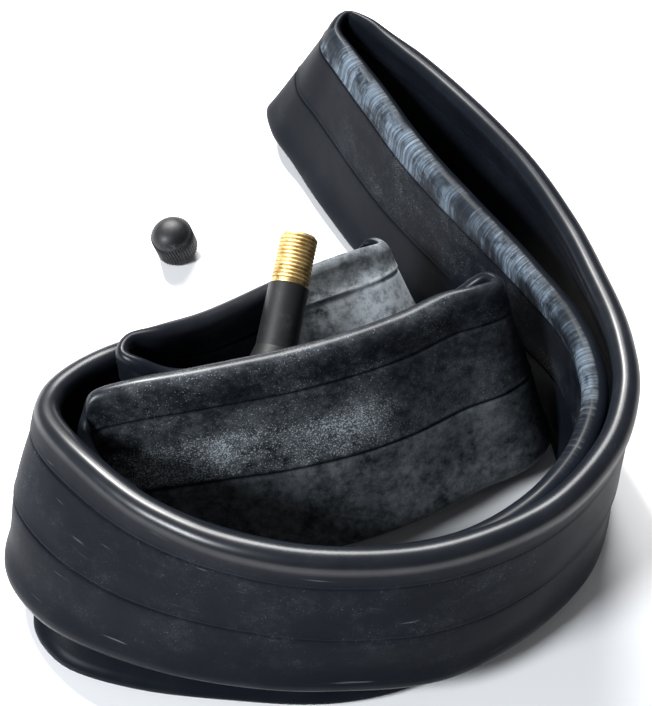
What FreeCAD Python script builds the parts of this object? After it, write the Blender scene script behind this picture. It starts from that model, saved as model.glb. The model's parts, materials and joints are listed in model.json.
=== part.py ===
import FreeCAD, Part
import math
import os
import Sketcher
from FreeCAD import Placement, Rotation, Vector

# A deflated bicycle inner tube, folded up and standing on its edge, with its
# valve and the valve's loose dust cap beside it. Millimetres, +Z up, the floor
# at z = 0.

SIZES = {
    # the flattened tube: a strip with a soft roll along both of its edges
    "web_thick": 2.4,
    "roll_radius": 2.5,
    # the valve, measured along its own axis from the tube's wall
    "patch_radius": 9.0,
    "patch_thick": 1.4,
    "patch_gap": 0.6,
    "patch_drop": 3.0,
    "flare_radius": 7.4,
    "flare_end": 9.0,
    "sheath_radius": 4.1,
    "sheath_end": 21.8,
    "stem_start": 3.4,
    "stem_end": 32.5,
    "thread_radius": 3.85,
    "thread_start": 22.6,
    "neck_radius": 2.9,
    "flange_radius": 5.0,
    "flange_thick": 1.0,
    "flange_start": 4.6,
    "tip_chamfer": 0.6,
    "mouth_radius": 2.65,
    "mouth_start": 25.4,
    "seat_start": 24.4,
    "throat_radius": 2.2,
    "throat_start": 14.0,
    "airway_radius": 1.2,
    # the valve core
    "plug_radius": 2.58,
    "plug_start": 28.2,
    "plug_end": 31.6,
    "plug_hole": 1.15,
    "plug_slot": 1.0,
    "barrel_radius": 1.75,
    "barrel_hole": 1.2,
    "barrel_start": 20.4,
    "barrel_end": 28.0,
    "gasket_radius": 2.12,
    "gasket_start": 22.4,
    "gasket_end": 24.3,
    "stop_hole": 0.6,
    "stop_thick": 0.7,
    "spring_radius": 0.85,
    "spring_wire": 0.3,
    "spring_end": 26.4,
    "pin_radius": 0.42,
    "pin_start": 15.4,
    "pin_end": 32.1,
    "head_radius": 0.75,
    "head_thick": 0.5,
    "collar_start": 28.2,
    "collar_radius": 0.85,
    "cup_radius": 1.75,
    "cup_start": 17.6,
    "cup_end": 19.3,
    "seal_radius": 1.5,
    "seal_thick": 0.8,
    # the dust cap, leaning on the edge of its open end
    "cap_radius": 5.1,
    "cap_height": 9.5,
    "cap_round": 3.4,
    "cap_bore": 3.92,
    "cap_depth": 7.6,
    "cap_seal_radius": 3.5,
    "cap_seal_thick": 0.6,
}

# Where the valve leaves the tube, and which way it points.
VALVE_ROOT = Vector(-11.7, -17.3, 30.0)
VALVE_WAY = Vector(0.2, 0.87, 0.465)
VALVE_STATION = 38
VALVE_SHARE = 0.2
CAP_SPOT = Vector(-36.0, 47.4, 0.0)
CAP_WAY = Vector(-0.156, -0.208, 0.966)

# The strip's route, all the way round: for each station the middle of the
# upper roll, the middle of the lower roll, and how far the strip bows to the
# left of the way it runs.
BACK_FOLD = [
    ((1.8, 76.5, 43), (-12.5, 84, 6.5), 0),
    ((4.2, 81, 43.5), (-13.5, 90.5, 8), 0),
    ((9, 78, 44), (-6.5, 89, 8), 0),
]
OUTER_RIGHT = [
    ((14, 71.5, 44.5), (0.5, 80.5, 7), 0),
    ((22, 61, 45), (10.5, 67, 6.5), 0.5),
    ((34, 42, 46), (26, 45.5, 6.5), 1),
    ((43, 25.5, 46), (37.5, 28, 6), 1),
    ((49, 9.5, 46), (46.5, 12, 6), 1),
    ((53, -6, 46), (54, -4, 6), 1),
    ((55, -18, 46), (57, -18, 6), 1),
    ((54.5, -29.5, 46), (55.5, -31, 6), 1),
]
OUTER_FRONT = [
    ((50, -41, 46), (50.5, -43, 6.5), 1),
    ((38.5, -54, 46), (38, -56, 7.5), 1),
    ((22, -62, 46), (22, -65.5, 8.8), 1),
    ((4, -64.3, 46), (2, -68, 9.2), 1),
    ((-14, -61.8, 46), (-17, -67, 9.4), 1),
    ((-29.5, -54.5, 45), (-36.5, -62.6, 9.6), 1.5),
]
OUTER_LEFT = [
    ((-42, -43.5, 43.5), (-53, -54.5, 9.8), 1.8),
    ((-50.3, -33, 41), (-61, -43, 8.5), 2),
    ((-51.3, -25.5, 39), (-58.5, -28, 5.5), 2.5),
    ((-47.5, -19, 37.5), (-51.5, -16, 4), 3),
    ((-39.5, -12.5, 36), (-41, -5, 3.5), 3),
]
HIDDEN_RUN = [
    ((-30.5, -5.5, 32), (-28, 8, 2.7), 0),
    ((-17, 3.5, 29), (-12, 20, 2.7), -3),
    ((-4, 11.7, 27.5), (2, 25, 2.7), -4),
]
REAR_FOLD = [
    ((5.5, 17.8, 28), (12, 22, 2.7), -3),
    ((9.8, 20.2, 30.5), (21.5, 14.5, 3), -1),
    ((12.2, 17.3, 32.3), (27, 5, 4), 0),
]
REAR_RUN = [
    ((8.5, 14, 34.2), (23.5, -4, 4), 2),
    ((1, 10.9, 34), (9, -8.5, 3.5), 4.5),
    ((-9, 6, 33.6), (-7, -9.5, 3), 5),
    ((-23.5, -7.5, 39), (-22, -12.5, 3), 3),
]
SMALL_CURL = [
    ((-32, -14.6, 43.5), (-31.5, -15, 4.5), 0),
    ((-36.8, -17.2, 44.7), (-37, -17, 5), 0),
    ((-37.6, -20.8, 45), (-38, -21.5, 5), 0),
]
VALVE_RUN = [
    ((-34, -22.8, 44.5), (-33, -24, 4), 0),
    ((-28, -23.1, 41.5), (-26, -25, 3), 0.5),
    ((-15, -20.5, 40), (-14, -21.5, 2.7), 1),
    ((0, -15.5, 39.5), (3, -18, 2.7), 1),
    ((14, -8.8, 39), (20.5, -13, 2.7), 1),
]
FRONT_FOLD = [
    ((25, -4.2, 41.2), (35.5, -9, 4), 0),
    ((31, -2.4, 45.4), (43.5, -7.3, 7), 0),
    ((33.2, -5.2, 46.8), (46.3, -12.2, 8), 0),
]
FRONT_RUN = [
    ((29, -8.2, 48), (41.5, -18.5, 8), 0),
    ((22.5, -10.4, 48), (30.5, -24, 8), 0),
    ((14, -15.5, 48), (18, -31, 8), 0),
    ((4.5, -19.8, 48), (6, -35.8, 8), 0),
    ((-8, -24, 47.8), (-8, -39, 8), 0),
    ((-23, -27.2, 47), (-23.5, -41, 8.5), 0),
]
LEFT_FOLD = [
    ((-36, -29.5, 46), (-37.5, -43, 8), 0),
    ((-43.2, -31.2, 44), (-48, -44, 5.5), 0),
    ((-44.2, -34.2, 39.8), (-54.5, -46.5, 3.3), 1),
]
INNER_FRONT = [
    ((-42.8, -38.6, 37), (-56, -52.5, 2.7), 3),
    ((-37.6, -44, 35.5), (-50.5, -59.8, 2.7), 6),
    ((-28, -50, 35), (-37.5, -64.4, 2.7), 7),
    ((-12, -55.8, 35), (-17, -67, 2.7), 7.5),
    ((6, -57.8, 35), (4, -67.3, 2.7), 8),
    ((24, -55, 35.5), (22, -61.5, 2.7), 7.5),
]
INNER_RIGHT = [
    ((37, -47.8, 37), (35, -50.5, 2.7), 4.5),
    ((45.3, -39, 39.5), (44, -40, 2.8), 2),
    ((49.3, -30, 41), (50, -30.5, 3), 0),
    ((49.8, -20.5, 42), (51.8, -18, 3), 0),
]
LONG_RUN = [
    ((47.3, -9.5, 42), (49.3, -5.5, 3), 0),
    ((40.8, 3, 42), (40.5, 7, 3), 0),
    ((29.5, 21.5, 42), (24.5, 24, 3), 0),
    ((20, 37.5, 42), (12, 41, 3.5), 0),
    ((12, 54, 42.3), (1.5, 59, 4), 0),
    ((5, 68.5, 42.7), (-7, 75, 5), 0),
]
# The moulding is one piece. It is kept as one solid for each run and fold, so
# that each solid is simple; neighbours share their end faces.
RUNS = {
    "tube_back_fold": BACK_FOLD,
    "tube_outer_right": OUTER_RIGHT,
    "tube_outer_front": OUTER_FRONT,
    "tube_outer_left": OUTER_LEFT,
    "tube_hidden_run": HIDDEN_RUN,
    "tube_rear_fold": REAR_FOLD,
    "tube_rear_run": REAR_RUN,
    "tube_small_curl": SMALL_CURL,
    "tube_valve_run": VALVE_RUN,
    "tube_front_fold": FRONT_FOLD,
    "tube_front_run": FRONT_RUN,
    "tube_left_fold": LEFT_FOLD,
    "tube_inner_front": INNER_FRONT,
    "tube_inner_right": INNER_RIGHT,
    "tube_long_run": LONG_RUN,
}

SECTION_SPACING = 5.0
TIGHT_SPACING = 2.2
STEP_ASIDE = 0.02

doc = FreeCAD.newDocument("inner_tube")
sheet = doc.addObject("Spreadsheet::Sheet", "sizes")
for row, (alias, value) in enumerate(SIZES.items(), start=1):
    sheet.set("A%d" % row, alias)
    sheet.set("B%d" % row, str(value))
    sheet.setAlias("B%d" % row, alias)
doc.recompute()


def size(alias):
    return float(sheet.get(alias))


# ---- the strip's route as a smooth closed curve -----------------------------

def mix(low, high, share):
    return [a + (b - a) * share for a, b in zip(low, high)]


def station_row(station):
    upper, lower, bow = station
    return list(upper) + list(lower) + [bow]


def reach(row_a, row_b):
    upper = math.dist(row_a[:3], row_b[:3])
    lower = math.dist(row_a[3:6], row_b[3:6])
    return math.sqrt(max(upper, lower))


ROWS = [station_row(station) for run in RUNS.values() for station in run]


def route_row(index, share):
    """The strip at a share of the way from one station to the next."""
    count = len(ROWS)
    rows = [ROWS[(index + step) % count] for step in (-1, 0, 1, 2)]
    knots = [0.0]
    for first, second in zip(rows, rows[1:]):
        knots.append(knots[-1] + reach(first, second))
    here = knots[1] + (knots[2] - knots[1]) * share
    while len(rows) > 1:
        step = len(knots) - len(rows) + 1
        if len(rows) == 4:
            pairs = [(0, 1), (1, 2), (2, 3)]
        elif len(rows) == 3:
            pairs = [(0, 2), (1, 3)]
        else:
            pairs = [(1, 2)]
        rows = [
            mix(rows[k], rows[k + 1], (here - knots[a]) / (knots[b] - knots[a]))
            for k, (a, b) in enumerate(pairs)
        ]
    return rows[0]


def strip_frame(index, share):
    """Upper roll, lower roll, bow and the strip's left-hand normal."""
    row = route_row(index, share)
    if share < STEP_ASIDE:
        before = route_row(index - 1, 1 - STEP_ASIDE)
    else:
        before = route_row(index, share - STEP_ASIDE)
    after = route_row(index, share + STEP_ASIDE)
    upper = Vector(*row[:3])
    lower = Vector(*row[3:6])
    centre_before = (Vector(*before[:3]) + Vector(*before[3:6])) * 0.5
    centre_after = (Vector(*after[:3]) + Vector(*after[3:6])) * 0.5
    along = (centre_after - centre_before).normalize()
    up = (upper - lower).normalize()
    left = up.cross(along).normalize()
    return upper, lower, row[6], left


def strip_section(index, share):
    """One closed wire: two webs and the half round of a roll at each end."""
    upper, lower, bow, left = strip_frame(index, share)
    up = (upper - lower).normalize()
    height = (upper - lower).Length
    half_web = size("web_thick") / 2
    roll = size("roll_radius")
    neck = roll * 1.5

    def middle(distance):
        part = distance / height
        return lower + up * distance + left * (4 * bow * part * (1 - part))

    stops = [neck + (height - 2 * neck) * k / 4 for k in range(5)]
    left_web = [middle(stop) + left * half_web for stop in stops]
    right_web = [middle(stop) - left * half_web for stop in stops]

    def roll_round(centre, outward):
        turns = [math.radians(angle) for angle in (-100, -50, 0, 50, 100)]
        return [
            centre + left * (roll * math.sin(turn)) + outward * (roll * math.cos(turn))
            for turn in turns
        ]

    top = [right_web[-1]] + roll_round(upper, up) + [left_web[-1]]
    bottom = [left_web[0]] + roll_round(lower, up * -1)[::-1] + [right_web[0]]
    edges = []
    for points in (right_web, top, left_web[::-1], bottom):
        curve = Part.BSplineCurve()
        curve.interpolate(points)
        edges.append(curve.toShape())
    return Part.Wire(edges)


def make_run(first, stations):
    """The solid from one station to a later one, through sections between them."""
    sections = []
    count = len(ROWS)
    for index in range(first, first + stations):
        near = ROWS[index]
        far = ROWS[(index + 1) % count]
        span = max(math.dist(near[:3], far[:3]), math.dist(near[3:6], far[3:6]))
        spacing = TIGHT_SPACING if span < 9 else SECTION_SPACING
        pieces = max(1, round(span / spacing))
        for piece in range(pieces):
            sections.append(strip_section(index, piece / pieces))
    sections.append(strip_section((first + stations) % count, 0.0))
    return Part.makeLoft(sections, True, True, False)


# ---- pieces made from primitives bound to the sheet --------------------------

def bind(thing, **formulas):
    """Ties properties of an object to formulas over the sheet's aliases."""
    for name, formula in formulas.items():
        thing.setExpression(name.replace("__", "."), formula)
    return thing


def cylinder(name, radius, start, end):
    """A cylinder along the local Z axis between two distances."""
    thing = doc.addObject("Part::Cylinder", name)
    length = "(%s) - (%s)" % (end, start)
    return bind(thing, Radius=radius, Height=length, Placement__Base__z=start)


def cone(name, start_radius, end_radius, start, end):
    thing = doc.addObject("Part::Cone", name)
    length = "(%s) - (%s)" % (end, start)
    bind(thing, Radius1=start_radius, Radius2=end_radius)
    return bind(thing, Height=length, Placement__Base__z=start)


def fuse(name, things):
    joined = doc.addObject("Part::MultiFuse", name)
    joined.Shapes = things
    return joined


def cut(name, base, tool):
    rest = doc.addObject("Part::Cut", name)
    rest.Base = base
    rest.Tool = tool
    return rest


def ring(name, outer, inner, start, end):
    body = cylinder(name + "_outside", outer, start, end)
    hole = cylinder(name + "_inside", inner, start, end)
    return cut(name, body, hole)


ALONG_VALVE = Rotation(Vector(0, 0, 1), VALVE_WAY)
VALVE_PLACE = Placement(VALVE_ROOT, ALONG_VALVE)


def wall_place():
    """The tube's wall under the valve: a frame whose Z points out of it."""
    upper, lower, bow, left = strip_frame(VALVE_STATION - 1, VALVE_SHARE)
    up = (upper - lower).normalize()
    across = VALVE_ROOT - lower
    part = across.dot(up) / (upper - lower).Length
    middle = lower + (upper - lower) * part + left * (4 * bow * part * (1 - part))
    lift = size("web_thick") / 2 + size("patch_gap")
    centre = VALVE_ROOT + left * (lift - (VALVE_ROOT - middle).dot(left))
    centre = centre - up * size("patch_drop")
    return Placement(centre, Rotation(Vector(0, 0, 1), left))


def make_valve_rubber(wall):
    """The moulding bonded to the tube: a round patch that flares into a sheath."""
    local_wall = VALVE_PLACE.inverse().multiply(wall)
    patch = doc.addObject("Part::Cylinder", "patch")
    bind(patch, Radius="sizes.patch_radius", Height="sizes.patch_thick")
    patch.Placement = local_wall
    flare = cone("flare", "sizes.flare_radius", "sizes.sheath_radius", "-4", "sizes.flare_end")
    sheath = cylinder("sheath", "sizes.sheath_radius", "sizes.flare_end - 1", "sizes.sheath_end")
    solid = fuse("moulding", [flare, sheath])
    behind = doc.addObject("Part::Cylinder", "behind_the_wall")
    bind(behind, Radius="3 * sizes.patch_radius", Height="20")
    behind.Placement = local_wall.multiply(Placement(Vector(0, 0, -20), Rotation()))
    trimmed = cut("trimmed_moulding", solid, behind)
    whole = fuse("patched_moulding", [trimmed, patch])
    neck = cylinder("neck_space", "sizes.neck_radius", "sizes.stem_start", "sizes.sheath_end")
    flange_end = "sizes.flange_start + sizes.flange_thick"
    flange = cylinder("flange_space", "sizes.flange_radius", "sizes.flange_start", flange_end)
    airway = cylinder("airway_space", "sizes.airway_radius", "-6", "sizes.stem_start")
    return cut("valve_rubber", whole, fuse("stem_space", [neck, flange, airway]))


def make_valve_stem():
    """The brass tube: a flange held in the rubber, a neck, and the threaded end."""
    neck = cylinder("neck", "sizes.neck_radius", "sizes.stem_start", "sizes.thread_start")
    flange_end = "sizes.flange_start + sizes.flange_thick"
    flange = cylinder("flange", "sizes.flange_radius", "sizes.flange_start", flange_end)
    chamfer_start = "sizes.stem_end - sizes.tip_chamfer"
    shoulder = cone(
        "shoulder", "sizes.neck_radius", "sizes.thread_radius",
        "sizes.sheath_end", "sizes.thread_start",
    )
    thread = cylinder("thread", "sizes.thread_radius", "sizes.thread_start", chamfer_start)
    tip_radius = "sizes.thread_radius - sizes.tip_chamfer"
    tip = cone("tip", "sizes.thread_radius", tip_radius, chamfer_start, "sizes.stem_end")
    outside = fuse("stem_outside", [neck, flange, shoulder, thread, tip])
    mouth = cylinder("mouth", "sizes.mouth_radius", "sizes.mouth_start", "sizes.stem_end")
    seat = cone(
        "seat", "sizes.throat_radius", "sizes.mouth_radius",
        "sizes.seat_start", "sizes.mouth_start",
    )
    throat = cylinder("throat", "sizes.throat_radius", "sizes.throat_start", "sizes.seat_start")
    airway = cylinder("airway", "sizes.airway_radius", "sizes.stem_start", "sizes.throat_start")
    inside = fuse("stem_inside", [mouth, seat, throat, airway])
    return cut("valve_stem", outside, inside)


def make_core_plug():
    """The core's threaded head, with a bore for the pin and a slot for a tool."""
    body = ring(
        "plug_ring", "sizes.plug_radius", "sizes.plug_hole",
        "sizes.plug_start", "sizes.plug_end",
    )
    slot = doc.addObject("Part::Box", "tool_slot")
    bind(slot, Length="4 * sizes.plug_radius", Width="sizes.plug_slot", Height="sizes.plug_slot")
    bind(slot, Placement__Base__x="-2 * sizes.plug_radius")
    bind(slot, Placement__Base__y="-sizes.plug_slot / 2")
    bind(slot, Placement__Base__z="sizes.plug_end - sizes.plug_slot * 0.8")
    return cut("core_plug", body, slot)


def make_core_barrel():
    return ring(
        "core_barrel", "sizes.barrel_radius", "sizes.barrel_hole",
        "sizes.barrel_start", "sizes.barrel_end",
    )


def make_core_gasket():
    """The sleeve round the barrel, tapered at its top to meet the stem's seat."""
    body = cylinder("gasket_body", "sizes.gasket_radius", "sizes.gasket_start", "sizes.gasket_end")
    hole = cylinder("gasket_hole", "sizes.barrel_radius", "sizes.gasket_start", "sizes.gasket_end")
    return cut("core_gasket", body, hole)


def make_core_stop():
    end = "sizes.barrel_start + sizes.stop_thick"
    return ring("core_spring_stop", "sizes.barrel_hole", "sizes.stop_hole", "sizes.barrel_start", end)


def make_core_spring():
    """A helix of wire between the stop and the pin's collar."""
    start = size("barrel_start") + size("stop_thick")
    radius = size("spring_radius")
    wire = size("spring_wire") / 2
    height = size("spring_end") - start - 2 * wire
    turns = 6
    path = Part.makeHelix(height / turns, height, radius)
    section = Part.Wire([Part.makeCircle(wire, Vector(radius, 0, 0), Vector(0, 1, 0))])
    coil = Part.Wire(path.Edges).makePipeShell([section], True, True)
    spring = doc.addObject("Part::Feature", "core_spring")
    spring.Shape = coil
    spring.Placement = Placement(Vector(0, 0, start + wire), Rotation())
    return spring


def make_core_pin():
    shaft = cylinder("pin_shaft", "sizes.pin_radius", "sizes.pin_start", "sizes.pin_end")
    head = cylinder("pin_head", "sizes.head_radius", "sizes.pin_end - sizes.head_thick", "sizes.pin_end")
    collar_end = "sizes.collar_start + sizes.head_thick"
    collar = cylinder("pin_collar", "sizes.collar_radius", "sizes.collar_start", collar_end)
    return fuse("core_pin", [shaft, head, collar])


def make_core_cup():
    """The cup at the pin's inner end, which holds the seal against the barrel."""
    body = cylinder("cup_body", "sizes.cup_radius", "sizes.cup_start", "sizes.cup_end")
    hollow_start = "sizes.cup_end - sizes.seal_thick"
    hollow = cylinder("cup_hollow", "sizes.seal_radius", hollow_start, "sizes.cup_end")
    shaft = cylinder("cup_hole", "sizes.pin_radius", "sizes.cup_start", "sizes.cup_end")
    return cut("core_cup", body, fuse("cup_space", [hollow, shaft]))


def make_core_seal():
    start = "sizes.cup_end - sizes.seal_thick"
    return ring("core_seal", "sizes.seal_radius", "sizes.pin_radius", start, "sizes.cup_end + 0.3")


# ---- the dust cap, as two PartDesign bodies -----------------------------------

def base_plane(body):
    planes = body.Origin.OriginFeatures
    return next(plane for plane in planes if plane.Role == "XY_Plane")


def circle_sketch(body, name, radius, height="0"):
    """A sketch with one circle about the origin, at a height above the base."""
    sketch = body.newObject("Sketcher::SketchObject", name)
    sketch.AttachmentSupport = [(base_plane(body), "")]
    sketch.MapMode = "FlatFace"
    sketch.setExpression("AttachmentOffset.Base.z", height)
    sketch.addGeometry(Part.Circle(Vector(0, 0, 0), Vector(0, 0, 1), 1.0), False)
    sketch.addConstraint(Sketcher.Constraint("Coincident", 0, 3, -1, 1))
    index = sketch.addConstraint(Sketcher.Constraint("Radius", 0, 1.0))
    sketch.setExpression("Constraints[%d]" % index, radius)
    return sketch


def make_dust_cap():
    body = doc.addObject("PartDesign::Body", "dust_cap")
    pad = body.newObject("PartDesign::Pad", "cap_pad")
    pad.Profile = circle_sketch(body, "cap_outline", "sizes.cap_radius")
    pad.setExpression("Length", "sizes.cap_height")
    doc.recompute()
    top = max(range(len(pad.Shape.Edges)), key=lambda k: pad.Shape.Edges[k].BoundBox.ZMin)
    rounding = body.newObject("PartDesign::Fillet", "cap_dome")
    rounding.Base = (pad, ["Edge%d" % (top + 1)])
    rounding.setExpression("Radius", "sizes.cap_round")
    doc.recompute()
    solid_volume = rounding.Shape.Volume
    pocket = body.newObject("PartDesign::Pocket", "cap_hollow")
    pocket.Profile = circle_sketch(body, "cap_mouth", "sizes.cap_bore")
    pocket.setExpression("Length", "sizes.cap_depth - sizes.cap_seal_thick")
    pocket.Reversed = True
    seat = body.newObject("PartDesign::Pocket", "seal_seat")
    seat.Profile = circle_sketch(body, "seat_outline", "sizes.cap_seal_radius")
    seat.setExpression("Length", "sizes.cap_depth")
    seat.Reversed = True
    doc.recompute()
    assert seat.Shape.Volume < pocket.Shape.Volume, "the seal has no seat"
    assert seat.Shape.Volume < solid_volume * 0.6, "the cap is not hollow"
    return body


def make_cap_seal():
    body = doc.addObject("PartDesign::Body", "cap_seal")
    pad = body.newObject("PartDesign::Pad", "seal_pad")
    height = "sizes.cap_depth - sizes.cap_seal_thick"
    pad.Profile = circle_sketch(body, "seal_outline", "sizes.cap_seal_radius", height)
    pad.setExpression("Length", "sizes.cap_seal_thick")
    return body


# ---- the whole object ----------------------------------------------------------

tube_runs = {}
first_station = 0
for run_name, run in RUNS.items():
    tube_runs[run_name] = doc.addObject("Part::Feature", run_name)
    tube_runs[run_name].Shape = make_run(first_station, len(run))
    first_station += len(run)
wall = wall_place()
cap_lift = Vector(0, 0, size("cap_radius") * math.sin(CAP_WAY.getAngle(Vector(0, 0, 1))))
cap_place = Placement(CAP_SPOT + cap_lift, Rotation(Vector(0, 0, 1), CAP_WAY))

subparts = {name: (run, Placement()) for name, run in tube_runs.items()}
subparts.update({
    "valve_rubber": (make_valve_rubber(wall), VALVE_PLACE),
    "valve_stem": (make_valve_stem(), VALVE_PLACE),
    "core_plug": (make_core_plug(), VALVE_PLACE),
    "core_barrel": (make_core_barrel(), VALVE_PLACE),
    "core_gasket": (make_core_gasket(), VALVE_PLACE),
    "core_spring_stop": (make_core_stop(), VALVE_PLACE),
    "core_spring": (make_core_spring(), VALVE_PLACE),
    "core_pin": (make_core_pin(), VALVE_PLACE),
    "core_cup": (make_core_cup(), VALVE_PLACE),
    "core_seal": (make_core_seal(), VALVE_PLACE),
    "dust_cap": (make_dust_cap(), cap_place),
    "cap_seal": (make_cap_seal(), cap_place),
})
doc.recompute()

# The origin is the middle of the object's footprint, on the floor.
outer = FreeCAD.BoundBox()
for thing, place in subparts.values():
    thing.Placement = place.multiply(thing.Placement)
doc.recompute()
for thing, place in subparts.values():
    outer.add(thing.Shape.optimalBoundingBox(False, False))
shift = Placement(Vector(-outer.Center.x, -outer.Center.y, -outer.ZMin), Rotation())
for label, (thing, place) in subparts.items():
    thing.Label = label
    thing.Placement = shift.multiply(thing.Placement)
doc.recompute()

for thing in doc.Objects:
    assert not {"Invalid", "Error"} & set(thing.State), thing.Name + " failed"

os.makedirs("parts", exist_ok=True)
for label, (thing, place) in subparts.items():
    shape = thing.Shape
    assert not shape.isNull() and shape.isValid(), label + " is not a valid shape"
    shape.exportStep("parts/%s.step" % label)
    print("%-18s solids %d  %9.1f mm3" % (label, len(shape.Solids), shape.Volume))
print("shift", shift.Base, "size", outer.XLength, outer.YLength, outer.ZLength)
print("wall", wall.Base, wall.Rotation.multVec(Vector(0, 0, 1)))
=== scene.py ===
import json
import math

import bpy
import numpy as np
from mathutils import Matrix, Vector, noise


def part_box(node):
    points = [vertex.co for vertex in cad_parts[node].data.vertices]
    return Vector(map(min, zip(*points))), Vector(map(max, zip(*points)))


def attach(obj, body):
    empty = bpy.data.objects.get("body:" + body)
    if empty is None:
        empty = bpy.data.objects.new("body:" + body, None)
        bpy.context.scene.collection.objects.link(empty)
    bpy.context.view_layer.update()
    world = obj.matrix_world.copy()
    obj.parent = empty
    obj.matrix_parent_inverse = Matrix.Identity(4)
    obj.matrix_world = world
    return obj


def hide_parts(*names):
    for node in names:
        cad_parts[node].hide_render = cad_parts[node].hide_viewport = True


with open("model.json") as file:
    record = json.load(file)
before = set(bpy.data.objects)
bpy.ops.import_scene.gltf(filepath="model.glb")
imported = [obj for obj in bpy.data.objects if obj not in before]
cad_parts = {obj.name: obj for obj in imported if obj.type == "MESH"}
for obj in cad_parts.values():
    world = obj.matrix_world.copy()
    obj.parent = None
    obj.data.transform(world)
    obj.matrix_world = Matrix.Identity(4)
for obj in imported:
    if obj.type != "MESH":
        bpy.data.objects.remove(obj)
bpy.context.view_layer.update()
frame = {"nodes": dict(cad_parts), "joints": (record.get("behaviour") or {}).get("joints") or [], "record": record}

# %% [markdown]
# # A folded bicycle inner tube
# A deflated butyl tube is one long closed loop of flat rubber strip. This one
# stands on its edge, folded up, with its brass valve pointing up out of the
# middle and the plastic dust cap set down beside it. The first cell sets the
# unit and reads the frame's joints, because every size here is worked out
# from the frame or from the strip.

MM = 0.001
joints = {joint["name"]: joint for joint in frame["joints"]}

# %% [markdown]
# ## Writing shader maths as plain expressions
# A material is a tree of nodes. Wiring Math nodes by hand hides the formula,
# so a socket is wrapped in a small class whose + - * / add the node for us.
# Colours are mixed through a Mix node, never a Math node, which would turn
# them grey.

# %% The socket class
class Value:
    """A socket that can be used in an expression."""

    def __init__(self, finish, socket):
        self.finish = finish
        self.socket = socket

    def maths(self, operation, *values, clamp=False):
        settings = {"operation": operation, "use_clamp": clamp}
        return self.finish.add("ShaderNodeMath", settings, *values)

    def __add__(self, other):
        return self.maths("ADD", self, other)

    def __radd__(self, other):
        return self.maths("ADD", other, self)

    def __sub__(self, other):
        return self.maths("SUBTRACT", self, other)

    def __rsub__(self, other):
        return self.maths("SUBTRACT", other, self)

    def __mul__(self, other):
        return self.maths("MULTIPLY", self, other)

    def __rmul__(self, other):
        return self.maths("MULTIPLY", other, self)

    def between(self, low, high):
        """0 below low, 1 above high, smooth between them."""
        settings = {"interpolation_type": "SMOOTHSTEP"}
        return self.finish.add("ShaderNodeMapRange", settings, self, low, high)

    def clamped(self):
        return self.maths("ADD", self, 0.0, clamp=True)


class Finish:
    """A material with one Principled shader, built node by node."""

    def __init__(self, name, **constants):
        self.material = bpy.data.materials.new(name)
        self.material.use_nodes = True
        self.tree = self.material.node_tree
        self.shader = self.tree.nodes["Principled BSDF"]
        for socket, value in constants.items():
            self.shader.inputs[socket.replace("_", " ")].default_value = value

    def add(self, kind, settings, *values, output=0, **named):
        node = self.tree.nodes.new(kind)
        for name, value in settings.items():
            setattr(node, name, value)
        for key, value in list(enumerate(values)) + list(named.items()):
            socket = node.inputs[key.replace("_", " ") if isinstance(key, str) else key]
            if isinstance(value, Value):
                self.tree.links.new(value.socket, socket)
            else:
                socket.default_value = value
        return Value(self, node.outputs[output])

    def blend(self, share, low, high):
        """A colour part of the way from one to another."""
        mix = self.tree.nodes.new("ShaderNodeMix")
        mix.data_type = "RGBA"
        for slot, value in ((0, share), (6, low), (7, high)):
            if isinstance(value, Value):
                self.tree.links.new(value.socket, mix.inputs[slot])
            else:
                mix.inputs[slot].default_value = value
        return Value(self, mix.outputs[2])

    def attribute(self, name):
        return self.add("ShaderNodeAttribute", {"attribute_name": name}, output=2)

    def speckle(self, where, scale, detail=3.0, roughness=0.6):
        named = {"Vector": where, "Scale": scale, "Detail": detail, "Roughness": roughness}
        return self.add("ShaderNodeTexNoise", {}, **named)

    def object_place(self):
        return self.add("ShaderNodeTexCoord", {}, output=3)

    def drive(self, **sockets):
        for name, value in sockets.items():
            self.tree.links.new(value.socket, self.shader.inputs[name.replace("_", " ")])

    def bump(self, height, distance, strength=1.0):
        named = {"Height": height, "Distance": distance, "Strength": strength}
        self.drive(Normal=self.add("ShaderNodeBump", {}, **named))


# %% [markdown]
# ## The route of the strip
# The strip is described by stations: the middle of its upper rolled edge, the
# middle of its lower one, and how far it bows between them. A closed
# Catmull-Rom curve passes through every station, and its knots are spaced by
# the square root of the distance, which keeps tight folds from looping over
# themselves. A cloth simulation could fold a strip too, but it would not
# settle in the same folds as the frame.

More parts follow.
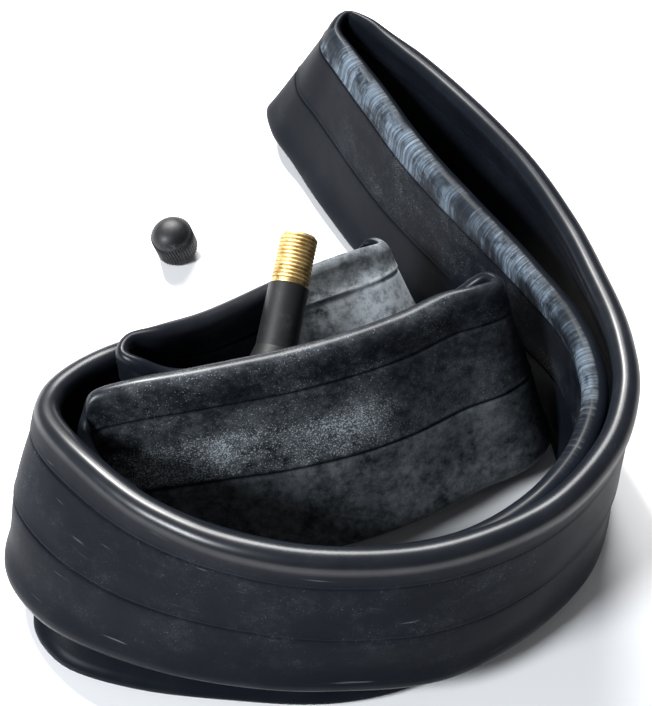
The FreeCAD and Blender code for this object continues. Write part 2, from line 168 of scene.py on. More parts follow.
# %% Stations of the strip, in millimetres
BACK_FOLD = [
    ((1.8, 76.5, 43), (-12.5, 84, 6.5), 0),
    ((4.2, 81, 43.5), (-13.5, 90.5, 8), 0),
    ((9, 78, 44), (-6.5, 89, 8), 0),
]
OUTER_TURN = [
    ((14, 71.5, 44.5), (0.5, 80.5, 7), 0),
    ((22, 61, 45), (10.5, 67, 6.5), 0.5),
    ((34, 42, 46), (26, 45.5, 6.5), 1),
    ((43, 25.5, 46), (37.5, 28, 6), 1),
    ((49, 9.5, 46), (46.5, 12, 6), 1),
    ((53, -6, 46), (54, -4, 6), 1),
    ((55, -18, 46), (57, -18, 6), 1),
    ((54.5, -29.5, 46), (55.5, -31, 6), 1),
    ((50, -41, 46), (50.5, -43, 6.5), 1),
    ((38.5, -54, 46), (38, -56, 7.5), 1),
    ((22, -62, 46), (22, -65.5, 8.8), 1),
    ((4, -64.3, 46), (2, -68, 9.2), 1),
    ((-14, -61.8, 46), (-17, -67, 9.4), 1),
    ((-29.5, -54.5, 45), (-36.5, -62.6, 9.6), 1.5),
    ((-42, -43.5, 43.5), (-53, -54.5, 9.8), 1.8),
    ((-50.3, -33, 41), (-61, -43, 8.5), 2),
    ((-51.3, -25.5, 39), (-58.5, -28, 5.5), 2.5),
    ((-47.5, -19, 37.5), (-51.5, -16, 4), 3),
    ((-39.5, -12.5, 36), (-41, -5, 3.5), 3),
]
BACK_RUN = [
    ((-30.5, -5.5, 32), (-28, 8, 2.7), 0),
    ((-17, 3.5, 29), (-12, 20, 2.7), -3),
    ((-4, 11.7, 27.5), (2, 25, 2.7), -4),
    ((5.5, 17.8, 28), (12, 22, 2.7), -3),
    ((9.8, 20.2, 30.5), (21.5, 14.5, 3), -1),
    ((12.2, 17.3, 32.3), (27, 5, 4), 0),
]
REAR_RUN = [
    ((8.5, 14, 34.2), (23.5, -4, 4), 2),
    ((1, 10.9, 34), (9, -8.5, 3.5), 4.5),
    ((-9, 6, 33.6), (-7, -9.5, 3), 5),
    ((-23.5, -7.5, 39), (-22, -12.5, 3), 3),
    ((-32, -14.6, 43.5), (-31.5, -15, 4.5), 0),
    ((-36.8, -17.2, 44.7), (-37, -17, 5), 0),
]
VALVE_RUN = [
    ((-37.6, -20.8, 45), (-38, -21.5, 5), 0),
    ((-34, -22.8, 44.5), (-33, -24, 4), 0),
    ((-28, -23.1, 41.5), (-26, -25, 3), 0.5),
    ((-15, -20.5, 40), (-14, -21.5, 2.7), 1),
    ((0, -15.5, 39.5), (3, -18, 2.7), 1),
    ((14, -8.8, 39), (20.5, -13, 2.7), 1),
    ((25, -4.2, 41.2), (35.5, -9, 4), 0),
    ((31, -2.4, 45.4), (43.5, -7.3, 7), 0),
]
FRONT_RUN = [
    ((33.2, -5.2, 46.8), (46.3, -12.2, 8), 0),
    ((29, -8.2, 48), (41.5, -18.5, 8), 0),
    ((22.5, -10.4, 48), (30.5, -24, 8), 0),
    ((14, -15.5, 48), (18, -31, 8), 0),
    ((4.5, -19.8, 48), (6, -35.8, 8), 0),
    ((-8, -24, 47.8), (-8, -39, 8), 0),
    ((-23, -27.2, 47), (-23.5, -41, 8.5), 0),
    ((-36, -29.5, 46), (-37.5, -43, 8), 0),
    ((-43.2, -31.2, 44), (-48, -44, 5.5), 0),
    ((-44.2, -34.2, 39.8), (-54.5, -46.5, 3.3), 1),
]
INNER_TURN = [
    ((-42.8, -38.6, 37), (-56, -52.5, 2.7), 3),
    ((-37.6, -44, 35.5), (-50.5, -59.8, 2.7), 6),
    ((-28, -50, 35), (-37.5, -64.4, 2.7), 7),
    ((-12, -55.8, 35), (-17, -67, 2.7), 7.5),
    ((6, -57.8, 35), (4, -67.3, 2.7), 8),
    ((24, -55, 35.5), (22, -61.5, 2.7), 7.5),
    ((37, -47.8, 37), (35, -50.5, 2.7), 4.5),
    ((45.3, -39, 39.5), (44, -40, 2.8), 2),
    ((49.3, -30, 41), (50, -30.5, 3), 0),
    ((49.8, -20.5, 42), (51.8, -18, 3), 0),
    ((47.3, -9.5, 42), (49.3, -5.5, 3), 0),
    ((40.8, 3, 42), (40.5, 7, 3), 0),
    ((29.5, 21.5, 42), (24.5, 24, 3), 0),
    ((20, 37.5, 42), (12, 41, 3.5), 0),
    ((12, 54, 42.3), (1.5, 59, 4), 0),
    ((5, 68.5, 42.7), (-7, 75, 5), 0),
]
RUNS = {
    "back fold": BACK_FOLD, "outer turn": OUTER_TURN, "back run": BACK_RUN,
    "rear run": REAR_RUN, "valve run": VALVE_RUN, "front run": FRONT_RUN,
    "inner turn": INNER_TURN,
}
starts = dict(zip(RUNS, np.cumsum([0] + [len(run) for run in RUNS.values()])))
stations = np.array([
    list(upper) + list(lower) + [bow]
    for run in RUNS.values()
    for upper, lower, bow in run
], dtype=float)
print(len(stations), "stations; runs start at", {k: int(v) for k, v in starts.items()})

# %% A closed curve through the stations
RING_SPACING = 1.04


def step_between(first, second):
    upper = np.linalg.norm(first[:3] - second[:3])
    lower = np.linalg.norm(first[3:6] - second[3:6])
    return max(upper, lower)


def route(stations):
    """Rows along the strip, and the station that each row stands at."""
    count = len(stations)
    rows = []
    places = []
    for index in range(count):
        four = [stations[(index + step) % count] for step in (-1, 0, 1, 2)]
        gaps = [step_between(a, b) for a, b in zip(four, four[1:])]
        knots = np.concatenate([[0.0], np.cumsum(np.sqrt(gaps))])
        pieces = max(3, round(gaps[1] / RING_SPACING))
        for piece in range(pieces):
            here = knots[1] + (knots[2] - knots[1]) * piece / pieces
            level = list(four)
            for pairs in (((0, 1), (1, 2), (2, 3)), ((0, 2), (1, 3)), ((1, 2),)):
                shares = [(here - knots[a]) / (knots[b] - knots[a]) for a, b in pairs]
                level = [level[k] + (level[k + 1] - level[k]) * s for k, s in enumerate(shares)]
            rows.append(level[0])
            places.append(index + piece / pieces)
    return np.array(rows), np.array(places)


rows, places = route(stations)
upper = rows[:, :3]
lower = rows[:, 3:6]
bow = rows[:, 6]
middle_line = (upper + lower) / 2
steps = np.linalg.norm(np.roll(middle_line, -1, axis=0) - middle_line, axis=1)
along = np.concatenate([[0.0], np.cumsum(steps)[:-1]])
print(len(rows), "rings; the loop measures", round(float(steps.sum()), 1), "mm")

# %% [markdown]
# ## The strip's section
# When the air is let out, the tube falls flat: two skins lie on each other and
# each edge keeps a soft roll where the rubber turns back on itself. So the
# section is a thin web that swells into a round at both ends. Two fine mould
# lines run along both faces, a groove with a slight lip above it.

# %% Half thickness across the strip
ROLL = 2.5
WEB = 1.2
GROOVES = (0.185, 0.555)
GROOVE_DEPTH = 0.32
GROOVE_WIDTH = 0.30


def half_thickness(distance, width, fullness):
    """Distances are from the upper edge; fullness is 1 for an open roll, 0 for a flat one."""
    edge = np.minimum(distance, width - distance)
    edge = np.clip(edge, 0.0, None)
    round_part = np.sqrt(np.clip(ROLL ** 2 - (ROLL - edge) ** 2, 0.0, None)) / ROLL
    fade = np.exp(-(((edge - ROLL) / 4.0) ** 2))
    swell = WEB + (ROLL - WEB) * fullness
    half = np.where(edge < ROLL, round_part * swell, WEB + (swell - WEB) * fade)
    for groove in GROOVES:
        off = (distance - groove * width) / GROOVE_WIDTH
        half = half - GROOVE_DEPTH * np.exp(-(off ** 2))
        half = half + 0.16 * np.exp(-((off + 2.4) / 1.3) ** 2)
    return half


def crossing_stops():
    """Shares of the strip's width, close together where the shape turns."""
    typical_width = 45.0
    turns = np.radians(np.linspace(0, 90, 9))
    round_stops = ROLL * (1 - np.cos(turns)) / typical_width
    fine = np.array([-1.1, -0.72, -0.36, -0.12, 0.12, 0.36, 0.8]) / typical_width
    grooves = [groove + fine for groove in GROOVES]
    plain = [np.linspace(0.08, 0.145, 3), np.linspace(0.23, 0.51, 8), np.linspace(0.60, 0.91, 9)]
    return np.unique(np.concatenate([round_stops, 1 - round_stops] + grooves + plain))


stops = crossing_stops()
print(len(stops), "points on each face of the section")

# %% [markdown]
# ## The tube as one closed skin
# Each ring of the skin is the section, set square to the strip's run. A lofted
# mesh is better here than a solidified sheet, because the rolls and grooves
# need points exactly where the rubber turns. In a tight fold the roll is
# pressed nearly flat. Slow noise makes the web and the rolls a little uneven,
# as rubber that has been packed in a box is.

# %% Build the skin
def unit(vectors):
    return vectors / np.linalg.norm(vectors, axis=-1, keepdims=True)


def slow_noise(values, scale, seed):
    return np.array([noise.noise(Vector((value / scale, seed, 0.5))) for value in values])


def closed_noise(scale, seed):
    """Noise along the loop that meets itself where the loop closes."""
    length = float(steps.sum())
    blend = np.clip((length - along) / 60.0, 0.0, 1.0)
    return slow_noise(along, scale, seed) * blend + slow_noise(along - length, scale, seed) * (1 - blend)


tangent = unit(np.roll(middle_line, -1, axis=0) - np.roll(middle_line, 1, axis=0))
height = np.linalg.norm(upper - lower, axis=1)
rise = unit(upper - lower)
left = unit(np.cross(rise, tangent))
wobble = closed_noise(26.0, 3.1) * 0.35
roll_wobble = closed_noise(14.0, 7.7) * 0.18
web_wave = closed_noise(9.0, 12.3) * 0.20


def near_fold(middle, reach):
    """1 at a fold's middle station, easing to 0 a few stations away."""
    away = np.abs(places - middle)
    away = np.minimum(away, len(stations) - away)
    return 1 - np.clip(away / reach, 0.0, 1.0) ** 2


folds = {
    "rear end": starts["rear run"] - 0.6,
    "small curl": starts["valve run"] + 0.2,
    "front end": starts["front run"] - 0.4,
    "front left": starts["inner turn"] - 0.8,
    "back": 1.0,
}
pressed = np.max([near_fold(middle, 2.6) for middle in folds.values()], axis=0)
fullness = 1 - 0.85 * pressed
print("pressed folds:", ", ".join(folds))


def skin_points(side):
    """The rings' points on one face, from the upper edge to the lower."""
    width = (height + 2 * ROLL)[:, None]
    distance = stops[None, :] * width
    from_lower = height[:, None] + ROLL - distance
    share = np.clip(from_lower / height[:, None], 0.0, 1.0)
    arch = 4 * share * (1 - share)
    offset = arch * (bow + wobble)[:, None] + arch * np.sin(share * 9.0) * web_wave[:, None]
    offset = offset + (1 - arch) * roll_wobble[:, None]
    half = half_thickness(distance, width, fullness[:, None])
    base = lower[:, None, :] + rise[:, None, :] * from_lower[..., None]
    return base + left[:, None, :] * (offset + side * half)[..., None]


left_face = skin_points(1.0)
right_face = skin_points(-1.0)
ring = np.concatenate([left_face, right_face[:, -2:0:-1]], axis=1)
ring_stops = np.concatenate([stops, stops[-2:0:-1]])
ring_sides = np.concatenate([np.ones(len(stops)), -np.ones(len(stops) - 2)])
ring_sides[[0, len(stops) - 1]] = 0.0
print("ring of", ring.shape[1], "points;", ring.shape[0] * ring.shape[1], "points in all")


def grid_mesh(name, points):
    """A skin whose rings and ends both close, with faces pointing outwards."""
    rings, around = points.shape[:2]
    index = np.arange(rings * around).reshape(rings, around)
    ahead = np.roll(index, -1, axis=0)
    faces = np.stack([
        index, np.roll(index, -1, axis=1), np.roll(ahead, -1, axis=1), ahead,
    ], axis=-1).reshape(-1, 4)
    mesh = bpy.data.meshes.new(name)
    mesh.from_pydata(points.reshape(-1, 3).tolist(), [], faces.tolist())
    mesh.polygons.foreach_set("use_smooth", np.ones(len(faces), dtype=bool))
    return mesh


tube_nodes = [node for node in frame["nodes"] if node.startswith("tube")]
tube_corners = np.array([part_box(node) for node in tube_nodes])
tube_low = tube_corners[:, 0].min(axis=0)
tube_high = tube_corners[:, 1].max(axis=0)
skin_low = ring.min(axis=(0, 1)) * MM
skin_high = ring.max(axis=(0, 1)) * MM
shift = (tube_low + tube_high) / 2 - (skin_low + skin_high) / 2
shift[2] = tube_low[2] - skin_low[2]
skin = grid_mesh("butyl_skin", ring * MM + shift)
print("the skin is moved by", np.round(shift * 1000, 2), "mm to sit in the frame")

# %% [markdown]
# ## Where the talc and the painted light are
# Tubes are dusted with talc so that they don't stick to the tyre. Handling
# wipes most of it off and leaves clouds, smears and streaks. One layer holds
# talc together with painted light: a pale wash on the sunlit end of the rear
# run, and a painted sky reflection mostly on the front run's lower panel. The
# amounts are kept on the mesh as attributes, one number a point, so that the
# finish can break them up with fine noise. Painting a texture would need an
# image, and noise alone would put dust in the wrong runs.

# %% Talc, painted light, smears and streaks as attributes
# A layer is kept between 0 and 1, so the talc with its painted light is stored as a share of its most.
TALC_AND_PAINTED_LIGHT_MOST = 1.6


def ramp(value, low, high):
    share = np.clip((value - low) / (high - low), 0.0, 1.0)
    return share * share * (3 - 2 * share)


def over(value, low, high, soft):
    """1 between low and high, easing to 0 within soft of either."""
    return ramp(value, low - soft, low) * (1 - ramp(value, high, high + soft))


place = np.repeat(places[:, None], ring.shape[1], axis=1)
drop = np.repeat(ring_stops[None, :], ring.shape[0], axis=0)
outer = np.repeat(ring_sides[None, :], ring.shape[0], axis=0) >= 0
count = len(stations)
front = starts["front run"]
rear = starts["rear run"]
inner = starts["inner turn"]
turn = starts["outer turn"]

upper_panel = over(drop, 0.0, 0.18, 0.01)
middle_panel = over(drop, 0.20, 0.53, 0.02)
lower_panel = over(drop, 0.57, 1.0, 0.02)
on_front_run = over(place, front + 1.0, front + 8.0, 1.2)
left_of_front = over(place, front + 4.0, front + 8.0, 1.5)
talc = 0.05 * np.ones_like(place)
above_line = over(drop, 0.36, 0.50, 0.07)
talc += on_front_run * (0.26 * upper_panel + 0.24 * middle_panel + 0.18 * lower_panel)
talc += left_of_front * (0.15 * middle_panel + 0.35 * above_line + 0.10 * upper_panel)
# This layer is partly talc and partly painted light: the sunlit end of the rear run is washed pale, and the front
# run gets a painted sky reflection, mostly on its lower panel.
talc_and_painted_light = over(place, rear - 1.2, rear + 1.4, 0.8) * (0.55 + 1.0 * over(drop, 0.16, 0.7, 0.08))
talc_and_painted_light += on_front_run * (0.05 + 0.26 * lower_panel + 0.06 * middle_panel)
talc_and_painted_light = np.where(outer, talc_and_painted_light, 0.0)
talc += over(place, turn + 10, turn + 17, 2.5) * 0.12 * over(drop, 0.2, 0.75, 0.1)
talc += over(place, inner + 6.0, inner + 13.0, 2.0) * 0.25 * middle_panel
talc = np.where(outer, talc, 0.05)

streaks = over(place, inner + 7.5, count - 0.5, 1.2) * over(drop, 0.0, 0.14, 0.05)
streaks = np.where(outer, streaks, 0.0)
smears = over(place, inner + 8.5, count + 0.6, 1.0) * over(drop, 0.01, 0.165, 0.02)
smears = np.where(outer, smears, 0.0)
scratches = over(place, turn + 11, turn + 17, 2.0) * over(drop, 0.15, 0.9, 0.1)
scratches = np.where(outer, scratches, 0.0)
edges = 1 - over(drop, 0.09, 0.93, 0.05)
shine = 0.12 + 0.5 * over(place, turn + 5, turn + 8, 2.0) + 0.5 * on_front_run
shine += over(place, turn + 10, turn + 17, 2.0) + 0.3 * over(place, rear, front, 1.0)
polish = edges * shine + 0.06


def store(mesh, name, values):
    layer = mesh.attributes.new(name, "FLOAT", "POINT")
    layer.data.foreach_set("value", np.ascontiguousarray(values, dtype=np.float32).ravel())


for name, values in {
    "talc": talc, "talc_and_painted_light": talc_and_painted_light / TALC_AND_PAINTED_LIGHT_MOST, "streaks": streaks, "smears": smears,
    "scratches": scratches, "polish": polish,
}.items():
    store(skin, name, np.clip(values, 0.0, 1.0))
    print("talc layer", name, "mean", round(float(values.mean()), 3))

# %% [markdown]
# Streaks run across the strip, so the skin also needs a map that follows it:
# U is the distance along the loop and V the distance down from the upper
# edge, both in metres, so that a pattern keeps one scale everywhere.

# %% A map that follows the strip
def strip_map(mesh):
    rings, around = ring.shape[:2]
    corners = np.empty(len(mesh.loops), dtype=np.int64)
    mesh.loops.foreach_get("vertex_index", corners)
    corners = corners.reshape(-1, 4)
    u = along[corners // around] * MM
    length = float(steps.sum()) * MM
    u = np.where(u < u.max(axis=1, keepdims=True) - length / 2, u + length, u)
    v = ring_stops[corners % around] * 45.0 * MM
    layer = mesh.uv_layers.new(name="strip")
    layer.data.foreach_set("uv", np.stack([u, v], axis=-1).astype(np.float32).ravel())


strip_map(skin)

# %% [markdown]
# ## Butyl rubber
# Butyl is a very dark blue-black with a soft sheen. The talc is a pale
# bluish dust that is rough where it lies. Fine noise breaks the talc into
# specks, wider noise into clouds, and the mould lines stay darker. The same
# pale colour also paints light: a pale wash on the sunlit end of the rear run
# and a painted sky reflection on the front run's lower panel.

# %% The butyl finish
def make_butyl():
    butyl = Finish("butyl", IOR=1.07, Coat_Roughness=0.30)
    where = butyl.object_place()
    strip = butyl.add("ShaderNodeUVMap", {"uv_map": "strip"})
    stretched = butyl.add("ShaderNodeMapping", {}, strip, Scale=(1.0, 0.05, 1.0))
    raked = butyl.add("ShaderNodeMapping", {}, strip, Scale=(0.10, 1.0, 1.0), Rotation=(0, 0, 0.5))
    clouds = butyl.speckle(where, 90.0, 4.0)
    specks = butyl.speckle(where, 3200.0, 2.0, 0.7)
    grains = butyl.speckle(where, 520.0, 6.0, 0.75)
    lines = butyl.speckle(stretched, 1300.0, 4.0, 0.7)
    rakes = butyl.speckle(raked, 700.0, 2.0, 0.5)

    talc = butyl.attribute("talc")
    # This layer is partly talc and partly painted light: a pale wash for the sunlit end of the rear run and a
    # painted sky reflection on the front run's lower panel.
    talc_and_painted_light = butyl.attribute("talc_and_painted_light") * TALC_AND_PAINTED_LIGHT_MOST * (clouds * 0.6 + grains * 0.8).between(0.40, 1.0)
    cloudy = (clouds * 0.8 + grains * 1.1 + talc * 0.35).between(0.95, 1.5)
    dotted = (specks + clouds * 0.35 + talc * 0.22).between(0.87, 0.99)
    dust_and_painted_light = cloudy * 0.20 * talc + dotted * (talc + 0.05) * 0.9 + talc_and_painted_light
    patches = clouds.between(0.40, 0.62) * 0.8 + 0.2
    streaks = butyl.attribute("streaks") * lines.between(0.44, 0.74) * patches
    blots = (clouds * 0.75 + grains * 0.45).between(0.50, 0.66)
    broad = butyl.speckle(where, 45.0, 2.0).between(0.36, 0.52)
    smeared = butyl.attribute("smears")
    smears = smeared * (0.10 + blots * broad) * (0.4 + lines.between(0.35, 0.65))
    scratches = butyl.attribute("scratches") * rakes.between(0.68, 0.76)
    pale = (dust_and_painted_light + streaks * 0.30 + smears * 0.26 + scratches * 0.14).clamped()

    rubber = butyl.blend(clouds, (0.004, 0.005, 0.008, 1), (0.008, 0.010, 0.014, 1))
    # The pale colour serves both the talc and the painted light.
    talc_and_light_colour = butyl.blend(smeared, (0.48, 0.53, 0.57, 1), (0.30, 0.38, 0.47, 1))
    butyl.drive(Base_Color=butyl.blend(pale, rubber, talc_and_light_colour))
    polished = butyl.attribute("polish")
    butyl.drive(Roughness=(0.34 + grains * 0.16 + pale * 0.40).clamped())
    butyl.drive(Coat_Weight=(polished * (0.35 + clouds * 0.7) - pale).clamped())
    butyl.bump(grains * 0.5 + specks * 0.5 + pale, 0.00006, 0.5)
    return butyl.material


butyl = make_butyl()
tube_skin = bpy.data.objects.new("butyl_skin", skin)
bpy.context.scene.collection.objects.link(tube_skin)
skin.materials.append(butyl)
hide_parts(*tube_nodes)
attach(tube_skin, "folded_tube")
print("tube skin", len(skin.polygons), "faces")

# %% [markdown]
# ## Round pieces
# The valve and the cap are turned shapes, so one helper spins an outline of
# radius and height about the Z axis. The outline is a closed line: up the
# outside, over the lip and back down the bore.

# %% Spin an outline
def spun(name, outline, place, around=64):
    """A closed shell from (radius, height) corners in millimetres."""
    points = np.array(outline, dtype=float)
    turns = np.linspace(0, 2 * math.pi, around, endpoint=False)
    shell = np.stack([
        points[None, :, 0] * np.cos(turns)[:, None],
        points[None, :, 0] * np.sin(turns)[:, None],
        np.repeat(points[None, :, 1], around, axis=0),
    ], axis=-1) * MM
    mesh = grid_mesh(name, shell)
    mesh.transform(place)
    mesh.update()
    piece = bpy.data.objects.new(name, mesh)
    bpy.context.scene.collection.objects.link(piece)
    return piece


def crisp(piece, degrees=32):
    """Keeps turned corners sharp under smooth shading."""
    mesh = piece.data
    mesh.set_sharp_from_angle(angle=math.radians(degrees))
    return piece


def finished(piece, material, body, slot, *nodes):
    piece.data.materials.clear()
    piece.data.materials.append(material)
    if nodes:
        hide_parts(*nodes)
    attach(piece, body)
    print(piece.name, len(piece.data.polygons), "faces")
    return piece


core_joint = joints["core_out"]
valve_way = Vector(core_joint["axis"]).normalized()
CORE_MARK = 24.0
valve_root = Vector(core_joint["pos_m"]) - valve_way * CORE_MARK * MM
tilt = valve_way.to_track_quat("Z", "Y").to_matrix().to_4x4()
valve_place = Matrix.Translation(valve_root) @ tilt
print("valve root", [round(v * 1000, 1) for v in valve_root], "mm")

# %% [markdown]
# ## The valve's rubber
# The sheath is moulded in one piece with a round patch that is bonded to the
# tube. The frame already has its true shape, so only its skin is new: a
# matt black with the faint dust of the tube on it.

# %% The sheath
def make_sheath_rubber():
    rubber = Finish("sheath_rubber", Specular_IOR_Level=0.5)
    where = rubber.object_place()
    clouds = rubber.speckle(where, 160.0, 4.0)
    grains = rubber.speckle(where, 900.0, 3.0, 0.7)
    pale = (clouds + grains).between(1.05, 1.45) * 0.10
    rubber.drive(Base_Color=rubber.blend(pale, (0.006, 0.007, 0.008, 1), (0.25, 0.28, 0.32, 1)))
    rubber.drive(Roughness=(0.36 + clouds * 0.2).clamped())
    rubber.bump(grains, 0.00004, 0.4)
    return rubber.material


sheath_rubber = make_sheath_rubber()
sheath_node = bpy.data.objects["valve_rubber"]
sheath_node.data.materials.clear()
sheath_node.data.materials.append(sheath_rubber)
print("sheath", len(sheath_node.data.polygons), "faces")

# %% [markdown]
# ## The brass stem
# The stem is turned from brass rod: a plain shoulder, then the thread that the
# cap and the pump take. Its plain body is spun here. The thread is a helix, so
# Geometry Nodes make it: a spiral curve is given a small round profile, and
# its turns overlap into the ridges of a well used thread.

# %% Brass
def make_brass():
    brass = Finish("brass", Metallic=1.0)
    where = brass.object_place()
    clouds = brass.speckle(where, 500.0, 3.0)
    grains = brass.speckle(where, 3000.0, 2.0, 0.7)
    worn = (clouds * 0.6 + grains * 0.4).between(0.38, 0.62)
    brass.drive(Base_Color=brass.blend(worn, (0.52, 0.35, 0.13, 1), (0.86, 0.64, 0.31, 1)))
    brass.drive(Roughness=(0.38 + clouds * 0.2).clamped())
    return brass.material


THREAD_START = 22.6
STEM_END = 32.5
CREST = 3.85
PITCH = 0.794
RIDGE = 0.30
ROOT = CREST - 1.1 * RIDGE
STEM = [
    (2.9, 3.4), (2.9, 21.8), (3.45, 22.1), (ROOT, 22.5), (ROOT, 31.9), (3.25, 32.5), (2.75, 32.5),
    (2.65, 32.3), (2.65, 25.4), (2.2, 24.4), (2.2, 14.0), (1.2, 14.0), (1.2, 3.4),
]
brass = make_brass()
stem = crisp(spun("brass_stem", STEM, valve_place))
finished(stem, brass, "folded_tube", "brass", "valve_stem")

# %% Geometry Nodes helpers
def new_tree(name, **sizes):
    """An empty tree with one number input for each named size."""
    tree = bpy.data.node_groups.new(name, "GeometryNodeTree")
    tree.interface.new_socket("Geometry", in_out="OUTPUT", socket_type="NodeSocketGeometry")
    for size, value in sizes.items():
        kind = "NodeSocketInt" if isinstance(value, int) else "NodeSocketFloat"
        socket = tree.interface.new_socket(size, in_out="INPUT", socket_type=kind)
        socket.default_value = value
    source = tree.nodes.new("NodeGroupInput")
    return tree, source


def place_node(tree, kind, settings=None, **links):
    """A node whose inputs are links or plain values, by name."""
    node = tree.nodes.new(kind)
    for name, value in (settings or {}).items():
        setattr(node, name, value)
    for name, value in links.items():
        socket = node.inputs[name.replace("_", " ")]
        if isinstance(value, bpy.types.NodeSocket):
            tree.links.new(value, socket)
        else:
            socket.default_value = value
    return node


def grown(name, tree, last, material, place, **sizes):
    """Runs a tree on an empty mesh and keeps the result as a plain mesh."""
    real = place_node(tree, "GeometryNodeRealizeInstances", Geometry=last)
    painted = place_node(tree, "GeometryNodeSetMaterial", Geometry=real.outputs[0])
    painted.inputs["Material"].default_value = material
    sink = tree.nodes.new("NodeGroupOutput")
    tree.links.new(painted.outputs[0], sink.inputs[0])
    carrier = bpy.data.objects.new(name + "_carrier", bpy.data.meshes.new(name + "_carrier"))
    bpy.context.scene.collection.objects.link(carrier)
    modifier = carrier.modifiers.new(name, "NODES")
    modifier.node_group = tree
    sockets = {item.name: item.identifier for item in tree.interface.items_tree}
    for size, value in sizes.items():
        modifier[sockets[size]] = value
    evaluated = carrier.evaluated_get(bpy.context.evaluated_depsgraph_get())
    mesh = bpy.data.meshes.new_from_object(evaluated)
    bpy.data.objects.remove(carrier)
    mesh.transform(place)
    piece = bpy.data.objects.new(name, mesh)
    bpy.context.scene.collection.objects.link(piece)
    return piece


# %% The thread
def make_thread():
    length = (STEM_END - 0.5 - THREAD_START) * MM
    sizes = {"Turns": length / (PITCH * MM), "Radius": (CREST - RIDGE) * MM}
    tree, source = new_tree("valve_thread", Turns=1.0, Radius=0.003, Length=0.01, Ridge=0.0003)
    out = source.outputs
    helix = place_node(
        tree, "GeometryNodeCurveSpiral", Resolution=48, Rotations=out["Turns"],
        Start_Radius=out["Radius"], End_Radius=out["Radius"], Height=out["Length"],
    )
    profile = place_node(
        tree, "GeometryNodeCurvePrimitiveCircle", {"mode": "RADIUS"},
        Resolution=8, Radius=out["Ridge"],
    )
    swept = place_node(
        tree, "GeometryNodeCurveToMesh",
        Curve=helix.outputs[0], Profile_Curve=profile.outputs["Curve"], Fill_Caps=True,
    )
    smooth = place_node(tree, "GeometryNodeSetShadeSmooth", Geometry=swept.outputs[0])
    lift = valve_place @ Matrix.Translation((0, 0, THREAD_START * MM))
    return grown(
        "valve_thread", tree, smooth.outputs[0], brass, lift,
        Length=length, Ridge=RIDGE * MM, **sizes,
    )


thread = make_thread()
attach(thread, "folded_tube")
print("thread", len(thread.data.polygons), "faces")

# %% [markdown]
# ## The core
# Inside the stem's mouth sits the valve core. Its plug, barrel and pin come
# from the frame with their true shapes, so they only take a finish.

# %% Finishes of the core
def make_plain(name, colour, roughness, metallic=0.0):
    plain = Finish(name, Roughness=roughness, Metallic=metallic)
    plain.shader.inputs["Base Color"].default_value = colour
    return plain.material


core_finishes = {
    "core_plug": brass, "core_barrel": brass, "core_spring_stop": brass, "core_cup": brass,
    "core_pin": brass,
    "core_spring": make_plain("spring_steel", (0.55, 0.55, 0.56, 1), 0.3, 1.0),
    "core_gasket": make_plain("core_rubber", (0.02, 0.02, 0.02, 1), 0.6),
    "core_seal": make_plain("seal_rubber", (0.02, 0.02, 0.02, 1), 0.6),
    "cap_seal": make_plain("cap_seal_rubber", (0.02, 0.02, 0.02, 1), 0.6),
}
for node, material in core_finishes.items():
    mesh = bpy.data.objects[node].data
    mesh.materials.clear()
    mesh.materials.append(material)
print("core pieces finished:", len(core_finishes))

# %% [markdown]
# ## The dust cap
# The cap is moulded plastic: a domed top, and fine ribs down its skirt for
# the fingers. The shell is spun. The ribs repeat round a
# circle, so Geometry Nodes set one small rib on each point of it.

# %% The cap's plastic
def make_cap_plastic():
    plastic = Finish("cap_plastic", Roughness=0.5, Specular_IOR_Level=0.35)
    where = plastic.object_place()
    clouds = plastic.speckle(where, 350.0, 3.0)
    grains = plastic.speckle(where, 2500.0, 2.0, 0.7)
    pale = (clouds + grains).between(1.08, 1.4) * 0.16
    plastic.drive(Base_Color=plastic.blend(pale, (0.006, 0.007, 0.009, 1), (0.28, 0.31, 0.35, 1)))
    plastic.drive(Roughness=(0.36 + clouds * 0.25).clamped())
    plastic.bump(grains, 0.00003, 0.4)
    return plastic.material


CAP_MARK = 3.5
cap_mount = next(mount for mount in frame["record"]["mounts"] if mount["name"] == "cap_bore")
cap_way = -Vector(cap_mount["axis"]).normalized()
cap_foot = Vector(cap_mount["pos_m"]) - cap_way * CAP_MARK * MM
cap_tilt = cap_way.to_track_quat("Z", "Y").to_matrix().to_4x4()
cap_place = Matrix.Translation(cap_foot) @ cap_tilt
CAP = [
    (4.55, 0.0), (4.75, 0.25), (4.75, 5.9), (4.86, 6.3), (4.72, 6.9), (4.42, 7.5), (3.95, 8.1),
    (3.3, 8.65), (2.6, 9.05), (1.7, 9.35), (0.9, 9.47), (0.05, 9.5),
    (0.05, 7.6), (3.6, 7.6), (3.92, 7.4), (3.92, 0.2), (4.0, 0.0),
]
cap_plastic = make_cap_plastic()
cap_shell = crisp(spun("cap_shell", CAP, cap_place), 40)
finished(cap_shell, cap_plastic, "cap", "cap_plastic", "dust_cap")

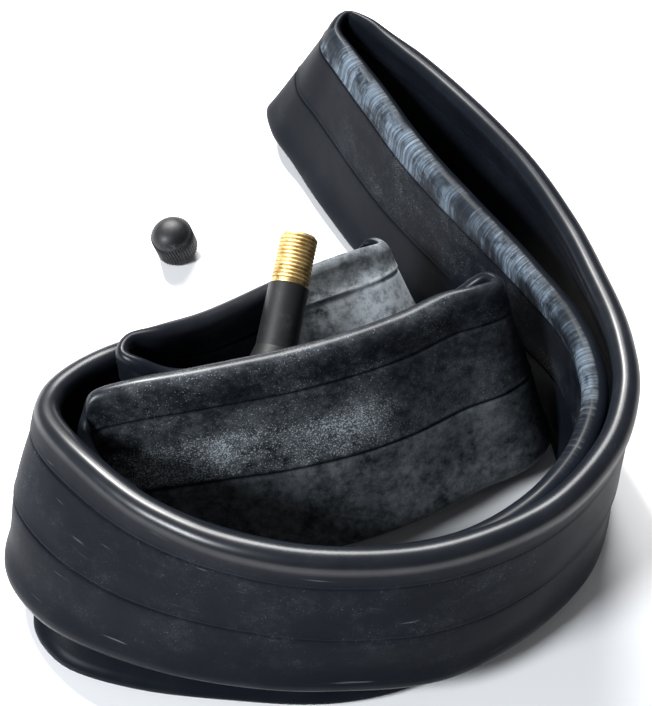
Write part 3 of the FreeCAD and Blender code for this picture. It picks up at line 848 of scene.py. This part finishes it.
# %% The cap's ribs
def make_ribs():
    tree, source = new_tree("cap_ribs", Count=40, Radius=0.0045, Tall=0.006, Rib=0.0003)
    out = source.outputs
    circle = place_node(
        tree, "GeometryNodeCurvePrimitiveCircle", {"mode": "RADIUS"},
        Resolution=out["Count"], Radius=out["Radius"],
    )
    rib = place_node(
        tree, "GeometryNodeMeshCylinder", Vertices=8, Radius=out["Rib"], Depth=out["Tall"],
    )
    smooth = place_node(tree, "GeometryNodeSetShadeSmooth", Geometry=rib.outputs["Mesh"])
    spread = place_node(
        tree, "GeometryNodeInstanceOnPoints",
        Points=circle.outputs["Curve"], Instance=smooth.outputs[0],
    )
    rib_tall = 6.2 * MM
    middle = cap_place @ Matrix.Translation((0, 0, 0.45 * MM + rib_tall / 2))
    return grown(
        "cap_ribs", tree, spread.outputs[0], cap_plastic, middle,
        Count=44, Radius=4.78 * MM, Tall=rib_tall, Rib=0.28 * MM,
    )


ribs = make_ribs()
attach(ribs, "cap")
print("ribs", len(ribs.data.polygons), "faces")

# %% [markdown]
# ## Floor, light and camera
# The object stands on a pale floor in plain studio light: a key from above
# and behind, a fill from the front left, a wide light behind and a dim even
# sky. The key comes low enough that the runs shade the floor between them,
# and the low sky keeps the rubber dark. The camera looks down at
# the same slope as someone standing over a table.

# %% The floor
floor_mesh = bpy.data.meshes.new("floor")
REACH = 6.0
corners = [(-REACH, -REACH, 0), (REACH, -REACH, 0), (REACH, REACH, 0), (-REACH, REACH, 0)]
floor_mesh.from_pydata(corners, [], [(0, 1, 2, 3)])
floor = bpy.data.objects.new("floor", floor_mesh)
bpy.context.scene.collection.objects.link(floor)
floor_mesh.materials.append(make_plain("pale_floor", (0.86, 0.86, 0.87, 1), 0.8))

# %% The lights
def area_light(name, place, aim, size, power, colour=(1, 1, 1)):
    data = bpy.data.lights.new(name, "AREA")
    data.shape = "DISK"
    data.size = size
    data.energy = power
    data.color = colour
    lamp = bpy.data.objects.new(name, data)
    lamp.location = place
    lamp.rotation_euler = (Vector(aim) - Vector(place)).to_track_quat("-Z", "Y").to_euler()
    bpy.context.scene.collection.objects.link(lamp)
    return lamp


def sun_light(name, towards_sun, width_degrees, power, colour=(1, 1, 1)):
    data = bpy.data.lights.new(name, "SUN")
    data.angle = math.radians(width_degrees)
    data.energy = power
    data.color = colour
    lamp = bpy.data.objects.new(name, data)
    lamp.rotation_euler = Vector(towards_sun).to_track_quat("Z", "Y").to_euler()
    bpy.context.scene.collection.objects.link(lamp)
    return lamp


sun_light("key", (-0.30, 0.62, 0.73), 4.0, 4.6, (1.0, 0.98, 0.95))
area_light("fill", (-0.70, -0.45, 0.65), (0, 0, 0.02), 0.30, 14.0, (0.92, 0.96, 1.0))
area_light("back", (-0.05, 0.72, 0.80), (0, 0, 0.02), 0.50, 14.0)
world = bpy.data.worlds.new("sky")
world.use_nodes = True
world.node_tree.nodes["Background"].inputs["Color"].default_value = (0.95, 0.97, 1.0, 1)
world.node_tree.nodes["Background"].inputs["Strength"].default_value = 0.20
bpy.context.scene.world = world
bpy.context.scene.view_settings.view_transform = "Standard"

# %% The camera
SLOPE = math.radians(52.0)
DISTANCE = 0.280
look_at = Vector((shift[0], shift[1], 0.020))
towards = Vector((0.0, math.cos(SLOPE), -math.sin(SLOPE)))
camera_data = bpy.data.cameras.new("camera")
camera_data.lens = 67.8
camera_data.sensor_width = 36.0
camera_data.clip_start = 0.01
camera = bpy.data.objects.new("camera", camera_data)
camera.location = look_at - towards * DISTANCE
camera.rotation_euler = (math.pi / 2 - SLOPE, 0.0, 0.0)
bpy.context.scene.collection.objects.link(camera)
bpy.context.scene.camera = camera
